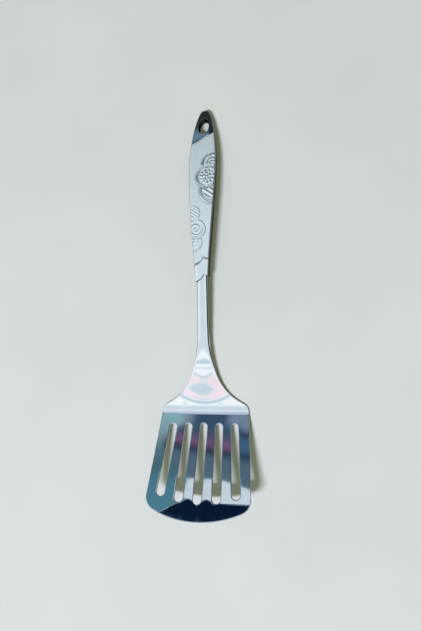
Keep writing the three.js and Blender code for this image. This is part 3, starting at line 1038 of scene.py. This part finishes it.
# Rolled lip of the liner in section: share of the tube's wall, counted from inside, and stand in lip heights
LINER_PROFILE = [
    (1.0, -0.35),
    (1.0, 0.0),
    (0.9, 0.6),
    (0.65, 0.95),
    (0.4, 1.0),
    (0.15, 0.55),
    (0.03, -0.3),
    (0.0, -1.6),
]
LINER_STEPS = 96


def make_liner(material):
    """A short oval tube through the handle, with its lips rolled over the edges of the hole."""
    builder = Builder()
    rows = []
    for side in (1, -1):
        for share, stand in LINER_PROFILE[::side]:
            across, along = hole_outline(LINER_WALL * share, LINER_STEPS)
            lift = face_lift(across, along, side)
            if side > 0:
                lift = lift + panel_lift(across, along)
            rows.append(builder.add(place(along, across, lift + side * LINER_LIP * stand)))
    builder.strip(np.array(rows + rows[:1])[::-1], closed=True)
    piece = make_piece("hole_liner_tube", builder, "hang_hole_liner", material, ROUND_BELOW)
    # Painted shade on the inner wall of the tube, darkened as if in the hole's shade
    painted_shade = np.zeros(builder.count)
    for row, (share, _) in zip(rows, LINER_PROFILE + LINER_PROFILE[::-1]):
        painted_shade[row] = share < LINER_SHADE_SHARE
    mark(piece, "painted_shade", painted_shade)


# Materials

# Painted shade: a darker colour inside the hole and on the side walls, and a dark grazing reflection
HOLE_PAINTED_SHADE = (0.05, 0.052, 0.05)
SIDE_PAINTED_SHADE = (0.42, 0.42, 0.40)
PAINTED_DARK_EDGE = (0.08, 0.08, 0.07)
BRIGHT_EDGE = (1, 1, 1)

# Noise of the surfaces: cells per metre along each axis, detail and roughness
SMUDGE_NOISE = ((38, 30, 38), 4.0, 0.6)
LINE_NOISE = ((2600, 60, 2600), 2.0, 0.55)
HAIR_NOISE = ((900, 22, 900), 1.0, 0.55)
GRIP_SMUDGE_NOISE = ((60, 40, 60), 4.0, 0.6)
GRAIN_NOISE = ((5200, 5200, 5200), 2.0, 0.55)
TABLE_NOISE = ((9, 9, 9), 3.0, 0.55)

# Where in their noise the smudges and the hairline scratches start and are full, and what they do
SMUDGES = (0.35, 0.7)
SMUDGE_SHADE = 0.93
HAIRS = (0.66, 0.70)
HAIR_ROUGHNESS = 0.05
HAIR_DEPTH = 0.6
BUMP_HEIGHT = 0.00005

# Front shell, polished and satin: colour, roughness from clean to smudged, strength of the bumps,
# and share of metal
GRIP_COLOURS = ((0.72, 0.74, 0.76), (0.80, 0.88, 0.91))
GRIP_ROUGHS = ((0.05, 0.10), (0.48, 0.54))
GRIP_BUMPS = (0.03, 0.30)
GRIP_METAL = (1.0, 0.5)

# Steels of the other pieces: colour, roughness from clean to smudged, and how strongly polishing lines show
BLADE_STEEL = ((0.70, 0.71, 0.73), (0.02, 0.045), 0.012)
BACK_STEEL = ((0.68, 0.69, 0.71), (0.12, 0.2), 0.06)
WELD_STEEL = ((0.40, 0.40, 0.38), (0.22, 0.34), 0.08)
LINER_STEEL = ((0.55, 0.56, 0.58), (0.12, 0.22), 0.06)

TABLE_TINTS = [(0.3, (0.635, 0.65, 0.62)), (0.7, (0.675, 0.685, 0.655))]
TABLE_ROUGH = 0.6


class Nodes:
    """Short hand for adding and linking the nodes of one material or world."""

    COLOUR_INPUTS = (0, 6, 7)
    COLOUR_OUTPUT = 2

    def __init__(self, tree):
        self.tree = tree
        self.tree.nodes.clear()

    def add(self, kind, inputs=None, **settings):
        node = self.tree.nodes.new("ShaderNode" + kind)
        for key, value in settings.items():
            setattr(node, key, value)
        for key, value in (inputs or {}).items():
            self.feed(node.inputs[key], value)
        return node

    def feed(self, socket, value):
        """Links an output to a socket, or sets the socket to a number or a colour."""
        if isinstance(value, bpy.types.NodeSocket):
            self.tree.links.new(value, socket)
        elif socket.type == "RGBA":
            socket.default_value = (*value, 1)
        else:
            socket.default_value = value

    def math(self, operation, *values, clamp=False):
        node = self.add("Math", operation=operation, use_clamp=clamp)
        for socket, value in zip(node.inputs, values):
            self.feed(socket, value)
        return node.outputs[0]

    def off(self, value, at):
        """How far a value lies from a place, to either side."""
        return self.math("ABSOLUTE", self.math("SUBTRACT", value, at))

    def spread(self, value, low, high, start=0.0, end=1.0):
        """Maps a value from start..end to low..high."""
        ends = {"From Min": start, "From Max": end, "To Min": low, "To Max": high}
        return self.add("MapRange", {"Value": value, **ends}).outputs["Result"]

    def mix(self, factor, first, second):
        """Mixes two values."""
        node = self.add("Mix", {"Factor": factor, "A": first, "B": second}, data_type="FLOAT")
        return node.outputs["Result"]

    def blend(self, factor, first, second):
        """Mixes two colours."""
        node = self.add("Mix", data_type="RGBA")
        for number, value in zip(self.COLOUR_INPUTS, (factor, first, second)):
            self.feed(node.inputs[number], value)
        return node.outputs[self.COLOUR_OUTPUT]

    def ramp(self, value, stops):
        """Colours by a value, from stops of a place and a colour each."""
        node = self.add("ValToRGB", {"Fac": value})
        elements = node.color_ramp.elements
        while len(elements) < len(stops):
            elements.new(0.5)
        for element, (position, colour) in zip(elements, stops):
            element.position = position
            element.color = (*colour, 1)
        return node.outputs["Color"]

    def noise(self, cells, detail, roughness):
        """Noise in object space with its own scale along each axis."""
        at = self.add("TexCoord").outputs["Object"]
        scaled = self.add("VectorMath", {0: at, 1: cells}, operation="MULTIPLY").outputs["Vector"]
        look = {"Scale": 1.0, "Detail": detail, "Roughness": roughness}
        return self.add("TexNoise", {"Vector": scaled, **look}).outputs["Fac"]

    def attribute(self, name):
        return self.add("Attribute", attribute_name=name).outputs["Fac"]

    def surface(self, **inputs):
        """Closes a material with a shader, whose inputs are named with underscores."""
        named = {name.replace("_", " "): value for name, value in inputs.items()}
        shader = self.add("BsdfPrincipled", named)
        self.add("OutputMaterial", {"Surface": shader.outputs["BSDF"]})


def new_material(name):
    material = bpy.data.materials.new(name)
    material.use_nodes = True
    return material, Nodes(material.node_tree)


def smudged_tint(nodes, smudges, colour):
    """A colour that is a little darker under the smudges."""
    dark = tuple(SMUDGE_SHADE * value for value in colour)
    return nodes.ramp(smudges, list(zip(SMUDGES, (colour, dark))))


def with_painted_shade(nodes, tint, painted_shade):
    """A tint that turns into a painted shade colour where the piece's painted shade attribute says so.

    Painted shade also makes the steel mirror less at a grazing angle, which the second colour sets.
    """
    share = nodes.attribute("painted_shade")
    return nodes.blend(share, tint, painted_shade), nodes.blend(share, BRIGHT_EDGE, PAINTED_DARK_EDGE)


def metal(nodes, tint, edge, share, rough, height, strength):
    """Closes a material as metal with fine bumps."""
    bump = nodes.add("Bump", {"Height": height, "Strength": strength, "Distance": BUMP_HEIGHT})
    normal = bump.outputs["Normal"]
    nodes.surface(Base_Color=tint, Metallic=share, Roughness=rough, Specular_Tint=edge, Normal=normal)


def steel(name, colour, rough, lines, painted_shade=None, edge=BRIGHT_EDGE):
    """Polished sheet: polishing lines along the length, smudges and a few hairline scratches.

    It is rough from clean to smudged, and lines is how strongly the polishing lines show.
    """
    material, nodes = new_material(name)
    smudges = nodes.noise(*SMUDGE_NOISE)
    scratches = nodes.spread(nodes.noise(*HAIR_NOISE), 0.0, 1.0, *HAIRS)
    scratched = nodes.math("MULTIPLY", scratches, HAIR_ROUGHNESS)
    rough = nodes.math("ADD", nodes.spread(smudges, *rough, *SMUDGES), scratched)
    tint = smudged_tint(nodes, smudges, colour)
    if painted_shade:
        tint, edge = with_painted_shade(nodes, tint, painted_shade)
    height = nodes.math("SUBTRACT", nodes.noise(*LINE_NOISE), nodes.math("MULTIPLY", scratches, HAIR_DEPTH))
    metal(nodes, tint, edge, 1.0, rough, height, lines)
    return material


def handle_steel(name):
    """The front shell: a fine blasted satin on the panel, polished on the band, the tip and the ornament."""
    material, nodes = new_material(name)
    satin = nodes.attribute("satin")
    smudges = nodes.noise(*GRIP_SMUDGE_NOISE)
    rough = nodes.mix(satin, *[nodes.spread(smudges, *ends, *SMUDGES) for ends in GRIP_ROUGHS])
    tint = nodes.blend(satin, *[smudged_tint(nodes, smudges, colour) for colour in GRIP_COLOURS])
    # Painted shade darkens the side walls and dims their grazing reflection
    tint, edge = with_painted_shade(nodes, tint, SIDE_PAINTED_SHADE)
    height = nodes.mix(satin, nodes.noise(*LINE_NOISE), nodes.noise(*GRAIN_NOISE))
    share = nodes.spread(satin, *GRIP_METAL)
    metal(nodes, tint, edge, share, rough, height, nodes.spread(satin, *GRIP_BUMPS))
    return material


def table_material():
    material, nodes = new_material("pale_table")
    nodes.surface(Base_Color=nodes.ramp(nodes.noise(*TABLE_NOISE), TABLE_TINTS), Roughness=TABLE_ROUGH)
    return material


# Studio: table, light, world and camera

TABLE_HALF = 3.0

# Lamp, in metres: its size, where it stands, and how far it stands to the left of that
LAMP_SIZE = (1.2, 0.25)
LAMP_ENERGY = 178.0
LAMP_COLOUR = (0.82, 0.845, 1.0)
LAMP_FROM = Vector((0.0, -0.56, 1.0)).normalized()
LAMP_DISTANCE = 4.0
LAMP_LEFT = Vector((0.75, 0.0, 0.0))


def make_table():
    mesh = bpy.data.meshes.new("table")
    corners = [(x * TABLE_HALF, y * TABLE_HALF, 0) for x, y in ((-1, -1), (1, -1), (1, 1), (-1, 1))]
    mesh.from_pydata(corners, [], [(0, 1, 2, 3)])
    mesh.materials.append(table_material())
    table = bpy.data.objects.new("table", mesh)
    bpy.context.scene.collection.objects.link(table)


def make_light():
    light = bpy.data.lights.new("overhead", "AREA")
    light.shape = "RECTANGLE"
    light.size, light.size_y = LAMP_SIZE
    light.energy = LAMP_ENERGY
    light.color = LAMP_COLOUR
    lamp = bpy.data.objects.new("overhead", light)
    lamp.visible_glossy = False
    lamp.location = LAMP_FROM * LAMP_DISTANCE - LAMP_LEFT
    lamp.rotation_euler = LAMP_FROM.to_track_quat("Z", "Y").to_euler()
    bpy.context.scene.collection.objects.link(lamp)


# What the polished steel mirrors. Two angles from straight up give a direction, in degrees: ahead leans
# towards the handle's end, and aside leans to the right.
LAMP_WHITE = (1.26, 1.36, 1.40)
HAZE = (1.08, 1.18, 1.24)
CEILING = (0.86, 1.00, 1.08)
ROSE = (1.30, 1.09, 1.17)
GLASS = (0.74, 0.92, 1.03)
LENS_GLASS = (0.80, 0.97, 1.06)
DAWN = (0.64, 0.76, 0.98)
LAVENDER = (0.79, 0.91, 0.99)
SLATE = (0.109, 0.181, 0.255)
DUSK = (0.022, 0.045, 0.085)
PLUM = (0.26, 0.12, 0.25)
STEEL_BLUE = (0.049, 0.109, 0.181)
BLUE = (0.064, 0.16, 0.28)
MIST = (0.16, 0.28, 0.37)
HEEL_GREY = (0.23, 0.33, 0.45)
NAVY = (0.003, 0.013, 0.039)
SOOT = (0.025, 0.035, 0.035)
PALE = (0.40, 0.42, 0.30)
SHADE = (0.05, 0.055, 0.04)
LEFT_WALL = (0.33, 0.33, 0.17)
LEFT_BLIND = (0.92, 0.94, 0.90)
RIGHT_WALL = (0.03, 0.035, 0.025)


def held(*stretches):
    """Stops of a row of colours, from the start, the end and the colour of each stretch."""
    return [(at, colour) for start, end, colour in stretches for at in sorted({start, end})]


# Straight over the turner hangs a strip of lamps and panes, in a lit ceiling
STRIP_BANDS = held(
    (-36, -36, SHADE),
    (-27, -21.5, LAMP_WHITE),
    (-20.5, -16.7, ROSE),
    (-16, -16, HAZE),
    (-14.2, -13.1, LAMP_WHITE),
    (-12.7, -12.4, CEILING),
    (-12, -11.2, LAMP_WHITE),
    (-10.5, -9.1, GLASS),
    (-8.7, -7.6, LAMP_WHITE),
    (-7, 7, CEILING),
    (9.5, 9.5, HAZE),
    (15.5, 22, DAWN),
)
CEILING_BANDS = held((-36, -36, SHADE), (-27, 10, HAZE), (15, 22, DAWN))
STRIP_AT = -15.0
STRIP_EDGE = (8.0, 13.0)

# Panes hang in the strip, each a lens between two arcs: where it is, ahead and aside, its half sizes, how far
# its edge reaches in and out, and its colour
PANES = [
    ((-16.1, -18.8), (1.9, 0.9), (0.5, 1.1), ROSE),
    ((-16.1, -15.5), (1.9, 1.0), (0.5, 1.1), ROSE),
    ((-16.8, -17.2), (1.6, 0.8), (0.4, 1.3), HAZE),
    ((-18.35, -18.0), (1.3, 3.9), (0.85, 1.1), HAZE),
    ((-18.35, -18.0), (1.1, 3.4), (0.7, 1.1), LENS_GLASS),
    ((-14.55, -17.15), (1.9, 2.1), (0.85, 1.1), CEILING),
    ((-14.0, -17.15), (1.45, 1.75), (0.8, 1.1), LAMP_WHITE),
]

# Beyond the handle stands a dark banded screen, with a light pane below it
SCREEN_EDGE = (21.0, 23.5)
PANE_TOP = 27.05
PANE_EDGE = 0.06
PANE_SLANT = 0.24
SCREEN_BANDS = held(
    (28.85, 28.85, SLATE),
    (29.15, 30, DUSK),
    (30.2, 30.75, PLUM),
    (31, 33.6, STEEL_BLUE),
    (34.4, 39.5, NAVY),
    (41.5, 44, MIST),
    (46.5, 70, SOOT),
    (84, 84, PALE),
)
SCREEN_SLANT = 0.12
SLANT_FROM = -16.5

# To the right the screen has no plum band
RIGHT_BANDS = held(
    (28.85, 28.85, SLATE),
    (29.1, 29.5, DUSK),
    (29.8, 31.3, BLUE),
    (31.6, 31.6, DUSK),
    (32.2, 34, HEEL_GREY),
    (34.4, 44, NAVY),
    (46, 70, SOOT),
    (84, 84, PALE),
)
RIGHT_EDGE = (-15.2, -14.9)

# The screen's upper middle is darker than its sides
HEEL_GREY_EDGE = (31.8, 32.6)
HEEL_GREY_END = 34.2
HEEL_DARK_AT = -18.6
HEEL_DARK_EDGE = (1.5, 2.4)

# A teal side screen stands to the left of the dark one; its edge is stepped
TEAL_BANDS = [
    (24, (0.10, 0.28, 0.37)),
    (26.5, (0.09, 0.26, 0.35)),
    (28, (0.077, 0.178, 0.223)),
    (30, (0.12, 0.24, 0.283)),
    (32, (0.30, 0.49, 0.55)),
    (33.8, (0.30, 0.61, 0.69)),
    (35, (0.071, 0.223, 0.273)),
    (37, (0.03, 0.09, 0.12)),
    (46, SOOT),
    (62, PALE),
]
TEAL_EDGES = [
    (24, -20.0),
    (27.5, -19.6),
    (29.4, -22.8),
    (31.3, -22.8),
    (32.2, -21.3),
    (34, -21.3),
    (34.6, -44.0),
]
TEAL_FADE = 0.7

# Walls to the left and to the right of all this
LEFT_WALL_BANDS = [(-30, LEFT_WALL), (-20, LEFT_BLIND), (12, LEFT_BLIND), (24, LEFT_WALL)]
WALL_LEVELS = [(-62, 1.0), (-48, 0.0), (11, 0.0), (23, 1.0)]

# The pale backdrop that the camera sees past the table, and the warm fill light on all dull surfaces
BACKDROP = (0.66, 0.70, 0.675)
FILL = (0.273, 0.30, 0.17)


def bands(nodes, angle, stops):
    """Colours by an angle, in degrees from straight up."""
    return nodes.ramp(nodes.spread(angle, 0, 1, -90, 90), [((at + 90) / 180, colour) for at, colour in stops])


def levels(nodes, angle, stops):
    """Values by an angle, in degrees from straight up."""
    values = [value for _, value in stops]
    low, high = min(values), max(values)
    greys = [(at, ((value - low) / (high - low),) * 3) for at, value in stops]
    return nodes.spread(bands(nodes, angle, greys), low, high)


def ceiling_colours(nodes, ahead, aside):
    """The ceiling, with its strip of lamps and panes."""
    strip = bands(nodes, ahead, STRIP_BANDS)
    for (ahead_at, aside_at), (half_ahead, half_aside), pane_edge, colour in PANES:
        up = nodes.math("DIVIDE", nodes.off(ahead, ahead_at), half_ahead)
        out = nodes.math("DIVIDE", nodes.off(aside, aside_at), half_aside)
        from_middle = nodes.math("ADD", up, nodes.math("MULTIPLY", out, out))
        strip = nodes.blend(nodes.spread(from_middle, 1, 0, *pane_edge), strip, colour)
    in_strip = nodes.spread(nodes.off(aside, STRIP_AT), 1, 0, *STRIP_EDGE)
    return nodes.blend(in_strip, bands(nodes, ahead, CEILING_BANDS), strip)


def screen_colours(nodes, ahead, aside):
    """The dark screen, with the pane below it and the teal screen beside it."""
    from_slant = nodes.math("SUBTRACT", aside, SLANT_FROM)
    up_screen = nodes.math("ADD", ahead, nodes.math("MULTIPLY", from_slant, SCREEN_SLANT))
    on_right = nodes.spread(aside, 0, 1, *RIGHT_EDGE)
    screen = nodes.blend(on_right, *[bands(nodes, up_screen, stops) for stops in (SCREEN_BANDS, RIGHT_BANDS)])
    beside = nodes.spread(nodes.off(aside, HEEL_DARK_AT), 0, 1, *HEEL_DARK_EDGE)
    near_heel = nodes.spread(ahead, 0, 1, *HEEL_GREY_EDGE)
    before_end = nodes.math("LESS_THAN", ahead, HEEL_GREY_END)
    greyed = nodes.math("MULTIPLY", nodes.math("MULTIPLY", beside, near_heel), before_end)
    screen = nodes.blend(greyed, screen, HEEL_GREY)
    up_pane = nodes.math("MAXIMUM", nodes.math("MULTIPLY", from_slant, PANE_SLANT), 0.0)
    below_top = nodes.math("SUBTRACT", PANE_TOP, nodes.math("ADD", ahead, up_pane))
    screen = nodes.blend(nodes.math("DIVIDE", below_top, PANE_EDGE, clamp=True), screen, LAVENDER)
    past_edge = nodes.math("SUBTRACT", levels(nodes, ahead, TEAL_EDGES), aside)
    to_teal = nodes.math("DIVIDE", past_edge, TEAL_FADE, clamp=True)
    return nodes.blend(to_teal, screen, bands(nodes, ahead, TEAL_BANDS))


def make_world():
    """The room round the table: light for the scene and reflections for the steel."""
    world = bpy.data.worlds.new("studio")
    bpy.context.scene.world = world
    world.use_nodes = True
    nodes = Nodes(world.node_tree)
    direction = nodes.add("TexCoord").outputs["Generated"]
    x, y, z = nodes.add("SeparateXYZ", {"Vector": direction}).outputs
    ahead, aside = [nodes.math("DEGREES", nodes.math("ARCTAN2", lean, z)) for lean in (y, x)]
    on_screen = nodes.spread(ahead, 0, 1, *SCREEN_EDGE)
    room = nodes.blend(on_screen, *[side(nodes, ahead, aside) for side in (ceiling_colours, screen_colours)])
    rightwards = nodes.math("GREATER_THAN", aside, STRIP_AT)
    walls = nodes.blend(rightwards, bands(nodes, ahead, LEFT_WALL_BANDS), RIGHT_WALL)
    room = nodes.blend(levels(nodes, aside, WALL_LEVELS), room, walls)
    colours = (room, BACKDROP, FILL)
    lights = [nodes.add("Background", {"Color": colour, "Strength": 1.0}) for colour in colours]
    mirrored, seen, fill = [light.outputs[0] for light in lights]
    rays = nodes.add("LightPath").outputs
    unseen = nodes.add("MixShader", {0: rays["Is Glossy Ray"], 1: fill, 2: mirrored}).outputs[0]
    mixed = nodes.add("MixShader", {0: rays["Is Camera Ray"], 1: unseen, 2: seen}).outputs[0]
    nodes.add("OutputWorld", {"Surface": mixed})


def make_camera():
    data = bpy.data.cameras.new("camera")
    data.sensor_fit = "VERTICAL"
    data.sensor_height = SENSOR_HEIGHT
    data.lens = SENSOR_HEIGHT * FOCAL_PIXELS / PICTURE_HEIGHT
    data.clip_start = CAMERA_CLIP
    camera = bpy.data.objects.new("camera", data)
    forward = (CAMERA_TARGET - CAMERA_AT).normalized()
    right = forward.cross(Vector((0, 1, 0))).normalized()
    up = right.cross(forward)
    axes = Matrix((right, up, -forward)).transposed() @ Matrix.Rotation(CAMERA_ROLL, 3, "Z")
    camera.matrix_world = Matrix.LocRotScale(CAMERA_AT * MM, axes.to_quaternion(), None)
    bpy.context.scene.collection.objects.link(camera)
    bpy.context.scene.camera = camera


make_camera()
make_table()
make_light()
make_world()

# The blade's neck folds, the shells' side walls and the inside of the hole carry painted shade
make_blade(steel("blade_steel", *BLADE_STEEL, SIDE_PAINTED_SHADE))
front_steel = handle_steel("front_shell_steel")
back_steel = steel("back_shell_steel", *BACK_STEEL, SIDE_PAINTED_SHADE)
make_shell("handle_front", "handle_front_shell", 1, front_steel)
make_shell("handle_back", "handle_back_shell", -1, back_steel)
# The weld bead is darker steel of its own; its grazing reflection is dimmed by painted shade
make_weld(steel("weld_bead_steel", *WELD_STEEL, edge=PAINTED_DARK_EDGE))
make_liner(steel("liner_tube_steel", *LINER_STEEL, HOLE_PAINTED_SHADE))

bpy.context.scene.view_settings.view_transform = "Standard"
